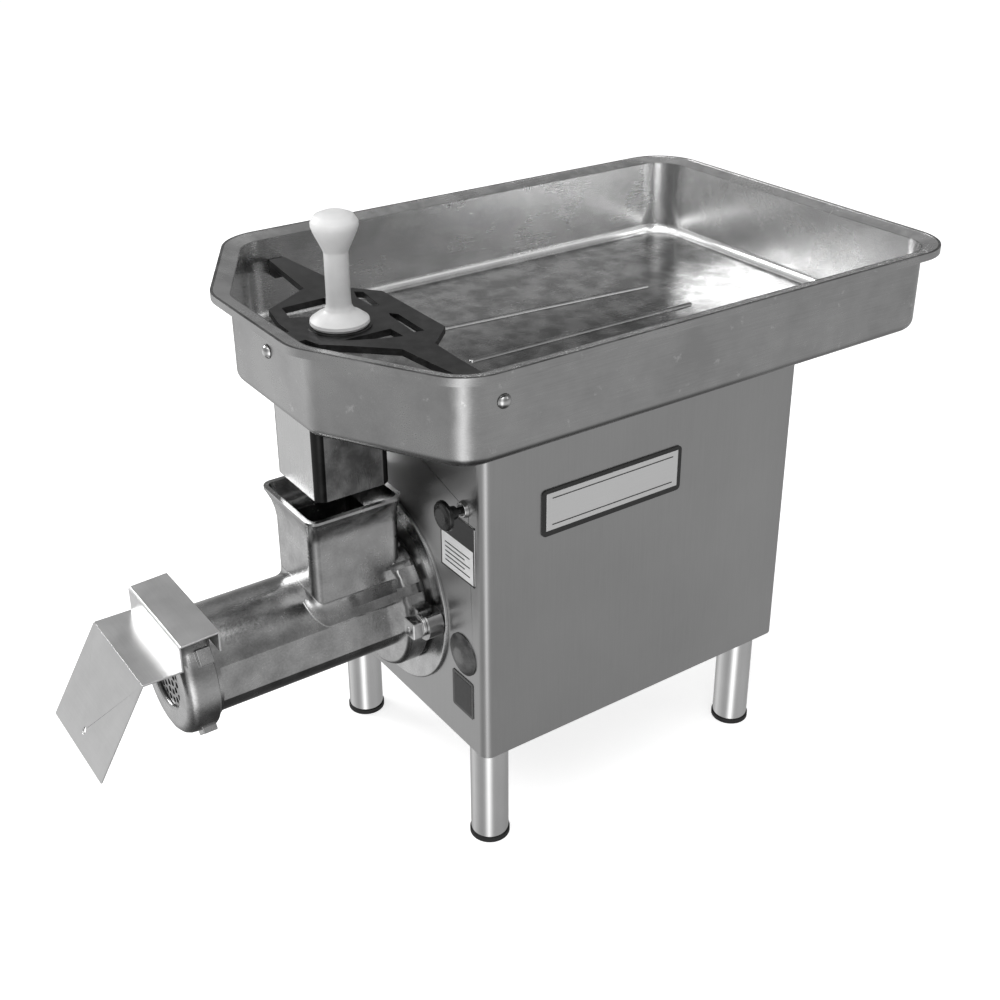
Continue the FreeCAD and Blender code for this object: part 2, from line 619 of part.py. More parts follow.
def cylinder():
    reach = "@head_reach"
    barrel = rod("Y", "@barrel_radius", ("0", "-@head_reach + 20", AXIS), "@head_reach - 24.2")
    slab = box(("-@flat_half", "@flat_half"), ("-@head_reach", "0"),
               (AXIS + " - @barrel_radius - 1", AXIS + " + @barrel_radius + 1"))

    def brinks(edge):
        if len(edge.Vertexes) != 2 or abs(direction(edge).y) < 0.99:
            return False
        return abs(abs(edge.Vertexes[0].Point.x) - size["flat_half"]) < 0.1

    body = fillet(common(barrel, slab), 2.0, brinks)
    thread = rod("Y", "@ring_radius - 8.5", ("0", "-" + reach, AXIS), "30")

    half = "@neck_half"
    corners = [("-" + half, "-@neck_front"), (half, "-@neck_front"),
               (half, "-@neck_rear"), ("-" + half, "-@neck_rear")]
    low = AXIS + " + 10"
    shaft = extrude(rounded(corners, TOP_VIEW, ("0", "0", low), "12"), (0, 0, 1),
                    "@neck_top - 31 - (%s)" % low)
    # Flared lip: wider at the sides than at the front and rear.
    wide = "@neck_half + 12"
    lip = [("-(%s)" % wide, "-@neck_front - 6.7"), (wide, "-@neck_front - 6.7"),
           (wide, "-@neck_rear - 1.4"), ("-(%s)" % wide, "-@neck_rear - 1.4")]

    def flare(grow, lift):
        stages = []
        for share, z in ((0.0, -30.0), (0.13, -20.0), (0.42, -10.0), (0.78, -3.5), (1.0, 0.0)):
            spots = []
            for (a, b), (c, d) in zip(corners, lip):
                spots.append(("(%s) + %.3f * ((%s) - (%s))" % (a, share, c, a),
                              "(%s) + %.3f * ((%s) - (%s))" % (b, share, d, b)))
            height = "@neck_top - 3 + %.2f" % (z + (lift if z > -1 else 0.0))
            stages.append(rounded(spots, TOP_VIEW, ("0", "0", height), "12", grow))
        return loft(*stages)

    mouth = flare("0", 0.0)
    roll = extrude(rounded(lip, TOP_VIEW, ("0", "0", "@neck_top - 3"), "12"), (0, 0, 1), "3")

    ears = []
    for side in ("", "-"):
        lobe = rod("Y", "17", (side + "@ear_offset", "-22", EAR_Z), "17")
        inner_x = ("60", "@ear_offset") if side == "" else ("-@ear_offset", "-60")
        web = box(inner_x, ("-22", "-5"), (EAR_Z + " - 15", EAR_Z + " + 13"))
        top = box(("-200", "200"), ("-30", "0"), (EAR_Z + " + 13", EAR_Z + " + 30"))
        ears.append(cut(fuse(lobe, web), top))
    disc = [("-4", "0"), ("-28", "0"), ("-28", "@flange_radius - 5"), ("-26", "@flange_radius - 1.5"),
            ("-23", "@flange_radius"), ("-5", "@flange_radius"), ("-4", "@flange_radius - 1")]
    whole = fuse(body, thread, shaft, mouth, roll, revolve(disc), *ears)

    bore = rod("Y", "@bore_radius", ("0", "-%s - 1" % reach, AXIS), "%s - 29" % reach)
    seat = rod("Y", "@plate_radius + 0.1", ("0", "-%s - 1" % reach, AXIS), "17")
    journal = rod("Y", "24", ("0", "-32", AXIS), "32")
    pilot = rod("Y", "@spigot_radius + 0.08", ("0", "-14.5", AXIS), "14")
    inner = [("-(%s) + 6" % half, "-@neck_front + 6"), (half + " - 6", "-@neck_front + 6"),
             (half + " - 6", "-@neck_rear - 17"), ("-(%s) + 6" % half, "-@neck_rear - 17")]
    well = extrude(rounded(inner, TOP_VIEW, ("0", "0", AXIS), "8"), (0, 0, 1),
                   "@neck_top + 1 - @axis_height")
    gullet = flare("-5", 4.0)
    slots = []
    for side in ("", "-"):
        slots.append(rod("Y", "6.6", (side + "@ear_offset", "-30", EAR_Z), "30"))
        centre = side + "@ear_offset"
        slots.append(box((centre + " - 6.6", centre + " + 6.6"), ("-30", "0"),
                         (EAR_Z, EAR_Z + " + 40")))
    # Notches in the rim of the mounting disc.
    for angle, deep, wide in NOTCHES:
        for lean in (angle, 180 - angle):
            turn = FreeCAD.Rotation(FreeCAD.Vector(0, 1, 0), -lean)
            along = turn.multVec(FreeCAD.Vector(1, 0, 0))
            up = turn.multVec(FreeCAD.Vector(0, 0, 1))
            notch = doc.addObject("Part::Box", "notch")
            bind(notch, "Length", "30")
            bind(notch, "Width", "40")
            bind(notch, "Height", str(wide))
            start = "(@flange_radius - %.2f)" % deep
            place(notch, "%.6f * %s - %.6f" % (along.x, start, up.x * wide / 2), "-35",
                  "%s + %.6f * %s - %.6f" % (AXIS, along.z, start, up.z * wide / 2), turn)
            slots.append(notch)
    hollow = cut(cut(whole, bore, seat, journal, pilot), well, gullet)
    node("cylinder", cut(hollow, *slots))


def head_parts():
    front = "@head_reach + 4"
    back = "-(%s)" % front
    plate = rod("Y", "@plate_radius", ("0", back, AXIS), "@plate_thick")
    holes = [rod("Y", "7.05", ("0", back + " - 1", AXIS), "@plate_thick + 2")]
    for count, radius in ((8, 13.2), (14, 21.6), (20, 30.4)):
        for i in range(count):
            angle = 2 * math.pi * (i + 0.5 * (count == 14)) / count
            holes.append(rod("Y", "3.3", ("%.5f" % (radius * math.cos(angle)), back + " - 1",
                                          AXIS + " + %.5f" % (radius * math.sin(angle))),
                             "@plate_thick + 2"))
    node("cutting_plate", cut(plate, *holes))

    # Knife: four arms on a square stud, just behind the plate.
    y = "-@head_reach + 6.4"
    arms = [rod("Y", "15", ("0", y, AXIS), "7.2")]
    for wide, tall in (("38", "6.5"), ("6.5", "38")):
        arms.append(box(("-" + wide, wide), (y, y + " + 7.2"), (AXIS + " - " + tall, AXIS + " + " + tall)))
    stud = box(("-6.1", "6.1"), (y + " - 1", y + " + 9"), (AXIS + " - 6.1", AXIS + " + 6.1"))
    node("knife", cut(fuse(*arms), stud))

    # Worm: root, one helical flight, thrust collar, rear tang and front stud.
    root = rod("Y", "15", ("0", "-@head_reach + 14", AXIS), "@head_reach - 44")
    collar = rod("Y", "23.93", ("0", "-31", AXIS), "8.4")
    tang = box(("-10", "10"), ("-24", "10"), (AXIS + " - 10", AXIS + " + 10"))
    nib = box(("-6", "6"), ("-@head_reach + 6", "-@head_reach + 20"), (AXIS + " - 6", AXIS + " + 6"))
    pin = rod("Y", "7", ("0", "-@head_reach - 3.5", AXIS), "9.4")
    pin_end = rod("Y", "6", ("0", "-@head_reach + 4", AXIS), "6")
    helix = doc.addObject("Part::Helix", "helix")
    bind(helix, "Pitch", "@worm_pitch")
    bind(helix, "Height", "@head_reach - 56")
    bind(helix, "Radius", "14")
    place(helix, "0", "-@head_reach + 20", AXIS, TURN["Y"])
    profile = doc.addObject("Sketcher::SketchObject", "flight_profile")
    reach = size["bore_radius"] - 0.6
    shape = [(13.0, -4.0), (reach, -2.0), (reach, 2.0), (13.0, 4.0)]
    for i in range(4):
        a = FreeCAD.Vector(shape[i][0], shape[i][1], 0)
        b = FreeCAD.Vector(shape[(i + 1) % 4][0], shape[(i + 1) % 4][1], 0)
        profile.addGeometry(Part.LineSegment(a, b), False)
    place(profile, "0", "-@head_reach + 20", AXIS, TOP_VIEW)
    flight = doc.addObject("Part::Sweep", "flight")
    flight.Sections = [profile]
    flight.Spine = (helix, ["Edge1"])
    flight.Solid = True
    flight.Frenet = True
    node("worm", fuse(root, collar, tang, nib, pin, pin_end, flight))

    radius = "@ring_radius"
    inside = "(@ring_radius - 8.1)"
    front = "-@ring_front"
    profile = [("-@head_reach + 24", inside), ("-@head_reach + 24", radius + " - 2"),
               ("-@head_reach + 22", radius + " - 0.6"), (front + " + 14", radius + " - 0.4"),
               (front + " + 9", radius + " - 0.9"), (front + " + 5", radius + " - 2.6"),
               (front + " + 2", radius + " - 6"), (front + " + 0.5", radius + " - 9.5"),
               (front, radius + " - 14"), (front, "@bore_radius + 5"),
               (front + " + 2.5", "@bore_radius + 1"),
               ("-@head_reach - 4.4", "@bore_radius + 1"), ("-@head_reach - 4.4", inside)]
    lugs = []
    for angle in (37, 127, 217, 307):
        turn = FreeCAD.Rotation(FreeCAD.Vector(0, 1, 0), -angle)
        lug = doc.addObject("Part::Box", "lug")
        bind(lug, "Length", "11")
        bind(lug, "Width", "15")
        bind(lug, "Height", "17")
        reach = turn.multVec(FreeCAD.Vector(1, 0, 0))
        up = turn.multVec(FreeCAD.Vector(0, 0, 1))
        place(lug, "%.6f * (@ring_radius - 6.5) + %.6f" % (reach.x, -8.5 * up.x),
              "-@head_reach + 8", "%s + %.6f * (@ring_radius - 6.5) + %.6f"
              % (AXIS, reach.z, -8.5 * up.z), turn)
        lugs.append(fillet(lug, 1.2, lambda edge: True))
    node("adjusting_ring", fuse(revolve(profile), *lugs))


def deflector():
    """Bent sheet hooked over the ring; profile in the YZ plane."""
    t = "@spout_sheet"
    top = "(@ring_radius + 1.2)"
    brow = "(@ring_radius - 0.8)"
    ring = "@ring_front"
    shelf = "(@ring_radius - 27.5)"
    knee = "(@spout_reach - 52)"
    points = [
        ("-@head_reach + 29.5", top + " - 20"), ("-@head_reach + 29.5", top + " + " + t),
        ("-%s - 1" % ring, brow + " + " + t), ("-%s - 3" % ring, brow + " + " + t + " - 2"),
        ("-%s - 3" % ring, shelf + " + " + t), ("-" + knee, shelf + " + " + t),
        ("-@spout_reach", "-49"), ("-@spout_reach + %s * 0.85" % t, "-50"),
        ("-%s + %s * 0.5" % (knee, t), shelf), ("-%s - 1" % ring, shelf),
        ("-%s - 1" % ring, brow), ("-@head_reach + 27.5", top), ("-@head_reach + 27.5", top + " - 20"),
    ]
    sketch = outline(points, SIDE_VIEW, ("-@spout_half", "0", AXIS))
    sheet = extrude(sketch, (1, 0, 0), "2 * @spout_half")
    arch = rod("Y", "@ring_radius - 7.5", ("0", "-@head_reach + 25", AXIS), "8")
    hole = rod("Y", "3", ("0", "-@spout_reach - 4", AXIS + " - 33"), "40")
    node("deflector", cut(sheet, arch, hole))


def lock_bolts():
    for name, side in (("r", ""), ("l", "-")):
        x = side + "@ear_offset"
        shank = rod("Y", "6", (x, "-24", EAR_Z), "31.5")
        head = box((x + " - 9.8", x + " + 9.8"), ("-37.5", "-25"), (EAR_Z + " - 9.4", EAR_Z + " + 9.4"))
        head = fillet(head, 1.6, lambda edge: True)
        dimple = rod("Y", "3.5", (x, "-38.5", EAR_Z), "2.5")
        washer = rod("Y", "12", (x, "-25.5", EAR_Z), "3.1")
        washer = fillet(washer, 0.8, at_depth("-25.5"))
        node("lock_bolt_" + name, cut(fuse(shank, head, washer), dimple))


# ---------------------------------------------------------------- tray
def tray_points():
    return mirrored([("79.8", "-@tray_front"), ("@tray_half", "-47.4"), ("@tray_half", "@tray_reach")])


def tray():
    corners = tray_points()
    radius = "@tray_corner"
    sheet = "@tray_sheet"
    floor = "@tray_floor"
    top = "@tray_floor + @tray_height"

    def ring_at(z, grow):
        return rounded(corners, TOP_VIEW, ("0", "0", z), radius, grow)

    outer = loft(ring_at(floor, "-0.6"), ring_at(top, "0"))
    outer = fillet(outer, 12.0, at_height(floor))
    inner = loft(ring_at(floor + " + " + sheet, "-0.6 - " + sheet), ring_at(top + " + 8", "0.05 - " + sheet))
    inner = fillet(inner, 10.5, at_height(floor + " + " + sheet))
    width = "@rim_width"
    high = top + " + @rim_rise"
    slab = extrude(ring_at(high + " - " + sheet, width), (0, 0, 1), sheet)
    sheet_low = loft(ring_at(top + " - " + sheet, "0"), ring_at(high + " - " + sheet, width))
    over = loft(ring_at(top, "-0.01"), ring_at(high + " + 0.01", width + " - 1"))
    hem = cut(extrude(ring_at(high + " - 8", width), (0, 0, 1), "8"),
              extrude(ring_at(high + " - 9", width + " - 3"), (0, 0, 1), "10"))
    rim = fuse(cut(fuse(slab, sheet_low), over), hem)
    pan = fuse(outer, rim)
    mouth = box(("-@chute_half + 1.5", "@chute_half - 1.5"), ("-@chute_front + 1.5", "-@chute_rear - 1.5"),
                (floor + " - 3", floor + " + 20"))
    mouth = fillet(mouth, 9.5, upright)
    pan = cut(pan, inner, mouth)
    # Two low ribs pressed along the floor, drawing together towards the rear.
    ribs = []
    z = floor + " + 0.2"
    for x, lean in ((-80.0, 0.089), (16.0, 0.017)):
        rib = doc.addObject("Part::Cylinder", "rib")
        bind(rib, "Radius", "3.8")
        bind(rib, "Height", "@tray_reach * 0.53")
        turn = FreeCAD.Rotation(FreeCAD.Vector(0, 0, 1), FreeCAD.Vector(lean, 1, 0))
        ribs.append(place(rib, str(x), "95", z, turn))
        run = 0.53 / math.hypot(lean, 1)
        ribs.append(ball("3.9", (str(x), "95", z)))
        end = ("%.1f + %.6f * @tray_reach" % (x, run * lean), "95 + %.6f * @tray_reach" % run, z)
        ribs.append(ball("3.9", end))
    keep = box(("-95", "60"), ("60", "@tray_reach"), (floor + " + 0.5", floor + " + 10"))
    bolts_holes = []
    for x, y, axis in bolt_spots():
        bolts_holes.append(rod(axis, "3.1", (x, y, "@guard_height - 1.5"), "30"))
    ribs = [common(fuse(*ribs[i:i + 3]), keep) for i in (0, 3)]
    node("tray", cut(fuse(pan, *ribs), *bolts_holes))

    chute = box(("-@chute_half", "@chute_half"), ("-@chute_front", "-@chute_rear"),
                ("@chute_bottom", floor))
    chute = fillet(chute, 11.0, upright)
    hollow = box(("-@chute_half + 1.5", "@chute_half - 1.5"), ("-@chute_front + 1.5", "-@chute_rear - 1.5"),
                 ("@chute_bottom - 1", floor + " + 1"))
    hollow = fillet(hollow, 9.5, upright)
    node("feed_chute", cut(chute, hollow))


def bolt_spots():
    """Start point of a 30 mm line through each tray wall, from outside or inside."""
    return [("@tray_half - 15", "-8", "X"), ("-@tray_half - 15", "-8", "X"),
            ("0", "-@tray_front - 15", "Y")]


def guard():
    low = "@guard_height"
    wall = "(@tray_half - 3)"
    right = [("14", "-@tray_front + 3"), ("14", "-93"), ("33", "-88"), ("47", "-71"), ("87", "-30"),
             (wall, "-16"), (wall, "1"), ("135", "1"), ("92.8", "2.9"), ("61.9", "34.1")]
    left = [("-60", "35"), ("-92", "10"), ("-134", "8"), ("-" + wall, "1"), ("-" + wall, "-17"),
            ("-115", "-28"), ("-79", "-86"), ("-38", "-95"), ("-14", "-96"),
            ("-14", "-@tray_front + 3")]
    plate = extrude(outline(right + left, TOP_VIEW, ("0", "0", low)), (0, 0, 1), "@guard_thick")
    cuts = [rod("Z", "26.5", ("0", "@pusher_y", low + " - 20"), "60")]
    windows = [
        [("36", "-66"), ("36", "-12.5"), ("60", "-12"), ("53", "-32.5")],
        [("-1.5", "8"), ("5", "5.5"), ("57", "1.5"), ("59", "12"), ("7", "14")],
        [("-76", "10"), ("-60", "4"), ("-30", "4"), ("-26", "11.5"), ("-70", "17.5")],
        [("-76", "-73"), ("-77", "-24"), ("-40", "-20"), ("-37", "-62"), ("-47", "-79")],
    ]
    for window in windows:
        hole = outline(window, TOP_VIEW, ("0", "0", low + " - 5"))
        hole = extrude(hole, (0, 0, 1), "@guard_thick + 10")
        cuts.append(hole)
    # Downward lugs at the wall take the fixing bolts.
    lugs = [rod("Z", "31.5", ("0", "@pusher_y", low), "@guard_thick + 1.5")]
    for side in ("", "-"):
        x = ("@tray_half - 16", wall) if side == "" else ("-" + wall, "-@tray_half + 16")
        lugs.append(box(x, ("-17", "1"), (low + " - 11", low + " + 1")))
    lugs.append(box(("-14", "14"), ("-@tray_front + 3", "-@tray_front + 16"), (low + " - 11", low + " + 1")))
    for x, y, axis in bolt_spots():
        cuts.append(rod(axis, "3.02", (x, y, low + " - 1.5"), "30"))
    node("finger_guard", cut(fuse(plate, *lugs), *cuts))

    bolts = []
    z = low + " - 1.5"
    face = "(@tray_half + 0.3)"
    for side, start in (("", "@tray_half - 13"), ("-", "-@tray_half - 1")):
        shank = rod("X", "3", (start, "-8", z), "14")
        dome = ball("8", (side + "(@tray_half - 3)", "-8", z))
        low_x = face if side == "" else "-%s - 9" % face
        high_x = "%s + 9" % face if side == "" else "-" + face
        cap = common(dome, box((low_x, high_x), ("-20", "4"), (z + " - 10", z + " + 10")))
        bolts.append(fuse(shank, cap))
    shank = rod("Y", "3", ("0", "-@tray_front - 1", z), "14")
    dome = ball("8", ("0", "-@tray_front + 3", z))
    cap = common(dome, box(("-10", "10"), ("-@tray_front - 9", "-@tray_front - 0.3"),
                           (z + " - 10", z + " + 10")))
    bolts.append(fuse(shank, cap))
    node("guard_bolts", group(*bolts))


def pusher():
    seat = "@guard_height + @guard_thick + 1.9"
    top = "@pusher_top"
    shaft = "@pusher_radius"
    profile = [
        ("0", "@neck_top + 3.6"), ("17", "@neck_top + 3.6"), ("20", "@neck_top + 6.6"),
        ("20", seat), ("28", seat), ("29.5", seat + " + 2.5"), ("29", seat + " + 5.5"),
        ("23", seat + " + 10"), (shaft + " + 3", seat + " + 14.5"),
        (shaft + " + 0.5", seat + " + 20"), (shaft, seat + " + 30"), (shaft, top + " - 40"),
        (shaft + " + 2", top + " - 35"), (shaft + " + 9", top + " - 20"),
        (shaft + " + 11", top + " - 14"), (shaft + " + 11", top + " - 10"),
        (shaft + " + 7", top + " - 3.5"), (shaft, top + " - 0.6"), ("6", top), ("0", top),
    ]
    node("pusher", spin(profile, "0", "@pusher_y"))


housing()
legs()
panel_fittings()
switch()
escutcheon()
gear_case()
drive()
motor()
rear_panel()
cylinder()
head_parts()
deflector()
lock_bolts()
tray()
guard()
pusher()
dims.clear("D1")
doc.recompute()

for obj in doc.Objects:
    if "Invalid" in obj.State or "Error" in obj.State:
        raise RuntimeError("%s (%s) is in error: %s" % (obj.Name, obj.Label, obj.State))
for label, obj in nodes.items():
    shape = obj.Shape
    if shape.isNull() or not shape.isValid() or not shape.Solids:
        raise RuntimeError("%s has no valid solid" % label)
    shape.exportStep("parts/%s.step" % label)
print("%d sub-parts written" % len(nodes))
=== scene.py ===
import json
import math
import bmesh
import bpy
from mathutils import Matrix, Vector


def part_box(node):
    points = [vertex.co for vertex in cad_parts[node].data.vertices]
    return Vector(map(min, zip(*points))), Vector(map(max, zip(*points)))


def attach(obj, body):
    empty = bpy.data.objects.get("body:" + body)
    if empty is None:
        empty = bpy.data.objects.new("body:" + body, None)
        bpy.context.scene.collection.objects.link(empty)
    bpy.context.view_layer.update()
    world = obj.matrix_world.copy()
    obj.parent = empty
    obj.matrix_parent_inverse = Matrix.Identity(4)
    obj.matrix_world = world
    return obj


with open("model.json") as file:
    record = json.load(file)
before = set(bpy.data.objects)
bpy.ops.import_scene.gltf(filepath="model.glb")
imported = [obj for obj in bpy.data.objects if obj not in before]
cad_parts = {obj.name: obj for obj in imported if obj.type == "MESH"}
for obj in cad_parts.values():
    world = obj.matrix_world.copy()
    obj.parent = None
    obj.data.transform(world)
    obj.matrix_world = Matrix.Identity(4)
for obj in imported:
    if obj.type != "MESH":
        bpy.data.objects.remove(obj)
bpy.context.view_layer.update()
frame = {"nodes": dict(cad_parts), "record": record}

NODES = frame["nodes"]


# ---------------------------------------------------------------- camera
CAMERA_PLACE = (1.1141, -0.7357, 1.0617)
# Azimuth, elevation and roll in degrees.
CAMERA_ANGLES = (55.405, 25.438, -0.267)


def make_camera():
    """Main view: from the outlet's right, above the tray."""
    azimuth, elevation, roll = (math.radians(angle) for angle in CAMERA_ANGLES)
    back = Vector((math.sin(azimuth) * math.cos(elevation),
                   -math.cos(azimuth) * math.cos(elevation), math.sin(elevation)))
    right = Vector((math.cos(azimuth), math.sin(azimuth), 0))
    turn = Matrix((right, back.cross(right), back)).transposed()
    turn = turn @ Matrix.Rotation(roll, 3, "Z")
    data = bpy.data.cameras.new("camera")
    data.lens = 49.35
    data.sensor_width = 36
    data.shift_y = -0.08
    data.clip_end = 20
    camera = bpy.data.objects.new("camera", data)
    camera.matrix_world = Matrix.Translation(CAMERA_PLACE) @ turn.to_4x4()
    bpy.context.scene.collection.objects.link(camera)
    bpy.context.scene.camera = camera


# ---------------------------------------------------------------- materials
# Sockets of a Mix node set to colour.
MIX_FACTOR, MIX_A, MIX_B, MIX_COLOUR = 0, 6, 7, 2
BLACK, WHITE = (0, 0, 0), (1, 1, 1)


class Paint:
    """A small node tree around one Principled shader."""

    def __init__(self, name, colour, metallic, roughness):
        self.material = bpy.data.materials.new(name)
        self.material.use_nodes = True
        self.tree = self.material.node_tree
        self.shader = self.tree.nodes["Principled BSDF"]
        self.shader.inputs["Base Color"].default_value = (*colour, 1)
        self.shader.inputs["Metallic"].default_value = metallic
        self.shader.inputs["Roughness"].default_value = roughness
        self.material.diffuse_color = (*colour, 1)

    def node(self, kind, **props):
        made = self.tree.nodes.new(kind)
        for key, setting in props.items():
            setattr(made, key, setting)
        return made

    def link(self, a, b):
        self.tree.links.new(a, b)

    def place(self, stretch):
        """Object coordinates, stretched."""
        where = self.node("ShaderNodeTexCoord")
        mapping = self.node("ShaderNodeMapping")
        mapping.inputs["Scale"].default_value = stretch
        self.link(where.outputs["Object"], mapping.inputs["Vector"])
        return mapping.outputs["Vector"]

    def noise(self, scale, detail, rough, stretch=(1, 1, 1)):
        made = self.node("ShaderNodeTexNoise")
        made.inputs["Scale"].default_value = scale
        made.inputs["Detail"].default_value = detail
        made.inputs["Roughness"].default_value = rough
        self.link(self.place(stretch), made.inputs["Vector"])
        return made.outputs["Fac"]

    def ramp(self, value, stops):
        """Colour looked up from (position, colour) stops."""
        made = self.node("ShaderNodeValToRGB")
        while len(made.color_ramp.elements) < len(stops):
            made.color_ramp.elements.new(0.5)
        for element, (at, colour) in zip(made.color_ramp.elements, stops):
            element.position = at
            element.color = (*colour, 1)
        self.link(value, made.inputs["Fac"])
        return made.outputs["Color"]

    def grey(self, value, low, high, start=0.3, end=0.7):
        """Colour between two greys."""
        colour = self.ramp(value, [(start, (low,) * 3), (end, (high,) * 3)])
        self.link(colour, self.shader.inputs["Base Color"])

    def rough(self, value, low, high):
        """Roughness between two numbers."""
        made = self.node("ShaderNodeMapRange")
        made.inputs["From Min"].default_value = 0.3
        made.inputs["From Max"].default_value = 0.7
        made.inputs["To Min"].default_value = low
        made.inputs["To Max"].default_value = high
        self.link(value, made.inputs["Value"])
        self.link(made.outputs["Result"], self.shader.inputs["Roughness"])

    def mix(self, a, b, share):
        """Share of a, and the rest of b."""
        made = self.node("ShaderNodeMath", operation="MULTIPLY_ADD")
        self.link(a, made.inputs[0])
        made.inputs[1].default_value = share
        scaled = self.node("ShaderNodeMath", operation="MULTIPLY")
        self.link(b, scaled.inputs[0])
        scaled.inputs[1].default_value = 1 - share
        self.link(scaled.outputs[0], made.inputs[2])
        return made.outputs[0]

    def bump(self, value, distance, strength):
        made = self.node("ShaderNodeBump")
        made.inputs["Strength"].default_value = strength
        made.inputs["Distance"].default_value = distance
        self.link(value, made.inputs["Height"])
        self.link(made.outputs["Normal"], self.shader.inputs["Normal"])

    def facing(self):
        """X, Y and Z of the surface direction in the object's own space."""
        where = self.node("ShaderNodeTexCoord")
        split = self.node("ShaderNodeSeparateXYZ")
        self.link(where.outputs["Normal"], split.inputs[0])
        return split.outputs

    def maths(self, operation, value, other=None):
        """One Math node; other is a socket or a number."""
        made = self.node("ShaderNodeMath", operation=operation)
        self.link(value, made.inputs[0])
        if isinstance(other, (int, float)):
            made.inputs[1].default_value = other
        elif other is not None:
            self.link(other, made.inputs[1])
        return made.outputs[0]

    def tint(self, mask, way):
        """Multiplies or adds a mask to the base colour it has so far."""
        socket = self.shader.inputs["Base Color"]
        before = socket.links[0].from_socket
        blend = self.node("ShaderNodeMix", data_type="RGBA", blend_type=way)
        blend.inputs[MIX_FACTOR].default_value = 1.0
        self.link(before, blend.inputs[MIX_A])
        self.link(mask, blend.inputs[MIX_B])
        self.link(blend.outputs[MIX_COLOUR], socket)


def steel_sheet(name, low, high, roughness, grain, spread=0.05, blotch=6.0):
    """Brushed sheet: long fine grain, slow cloudy variation."""
    paint = Paint(name, (high,) * 3, 1.0, roughness)
    cloud = paint.noise(blotch, 4.0, 0.6)
    brush = paint.noise(900, 2.0, 0.5, grain)
    both = paint.mix(cloud, brush, 0.72)
    paint.grey(both, low, high, 0.35, 0.65)
    paint.rough(both, roughness - spread, roughness + spread)
    paint.bump(brush, 0.00002, 0.35)
    return paint


def steel_cast(name, low, high, roughness, lumps=38.0, depth=0.0005):
    """Polished casting: soft waves, tiny pits, uneven polish."""
    paint = Paint(name, (high,) * 3, 1.0, roughness)
    wave = paint.noise(lumps, 3.0, 0.5)
    fine = paint.noise(420, 3.0, 0.6)
    both = paint.mix(wave, fine, 0.7)
    paint.grey(both, low, high, 0.35, 0.65)
    paint.rough(both, roughness - 0.06, roughness + 0.08)
    paint.bump(both, depth, 0.5)
    return paint


def plain(name, low, high, roughness, scale=120.0):
    """Paint, rubber or plastic with a fine uneven skin."""
    paint = Paint(name, (high,) * 3, 0.0, roughness)
    fine = paint.noise(scale, 4.0, 0.6)
    paint.grey(fine, low, high)
    paint.rough(fine, roughness - 0.05, roughness + 0.05)
    paint.bump(fine, 0.0001, 0.4)
    return paint.material


def painted_shade_bends(paint, low, high, share):
    """Painted shade: darker where the surface faces between X and Y, as on upright rounded corners."""
    across = paint.facing()
    product = paint.maths("MULTIPLY", across["X"], across["Y"])
    bend = paint.maths("ABSOLUTE", product)
    paint.tint(paint.ramp(bend, [(low, WHITE), (high, (share,) * 3)]), "MULTIPLY")


def painted_shade_side(paint, axis, low, high, share):
    """Painted shade: darker and cloudy where the surface faces along one axis."""
    toward = paint.facing()[axis]
    mask = paint.ramp(toward, [(low, WHITE), (high, (share,) * 3)])
    cloud = paint.ramp(paint.noise(34, 4.0, 0.6), [(0.40, (0.5,) * 3), (0.60, WHITE)])
    patchy_shade = paint.node("ShaderNodeMix", data_type="RGBA", blend_type="MULTIPLY")
    paint.link(paint.ramp(toward, [(low, BLACK), (high, WHITE)]), patchy_shade.inputs[MIX_FACTOR])
    paint.link(mask, patchy_shade.inputs[MIX_A])
    paint.link(cloud, patchy_shade.inputs[MIX_B])
    paint.tint(patchy_shade.outputs[MIX_COLOUR], "MULTIPLY")


def painted_light_inside(paint, lift):
    """Painted light: brighter on walls that face the tray's upright middle line."""
    where = paint.node("ShaderNodeTexCoord")
    level = paint.node("ShaderNodeMapping")
    level.inputs["Scale"].default_value = (1, 1, 0)
    level.inputs["Location"].default_value = (0, -0.1, 0)
    paint.link(where.outputs["Object"], level.inputs["Vector"])
    outward = paint.node("ShaderNodeVectorMath", operation="DOT_PRODUCT")
    paint.link(where.outputs["Normal"], outward.inputs[0])
    paint.link(level.outputs["Vector"], outward.inputs[1])
    inward = paint.maths("MULTIPLY", outward.outputs["Value"], -8.0)
    paint.tint(paint.ramp(inward, [(0.1, BLACK), (0.6, (lift,) * 3)]), "ADD")


def stained(paint, scale, threshold, lift):
    """Sparse soft pale spots over the sheet."""
    spots = paint.noise(scale, 6.0, 0.7)
    paint.tint(paint.ramp(spots, [(threshold, BLACK), (threshold + 0.08, (lift,) * 3)]), "ADD")


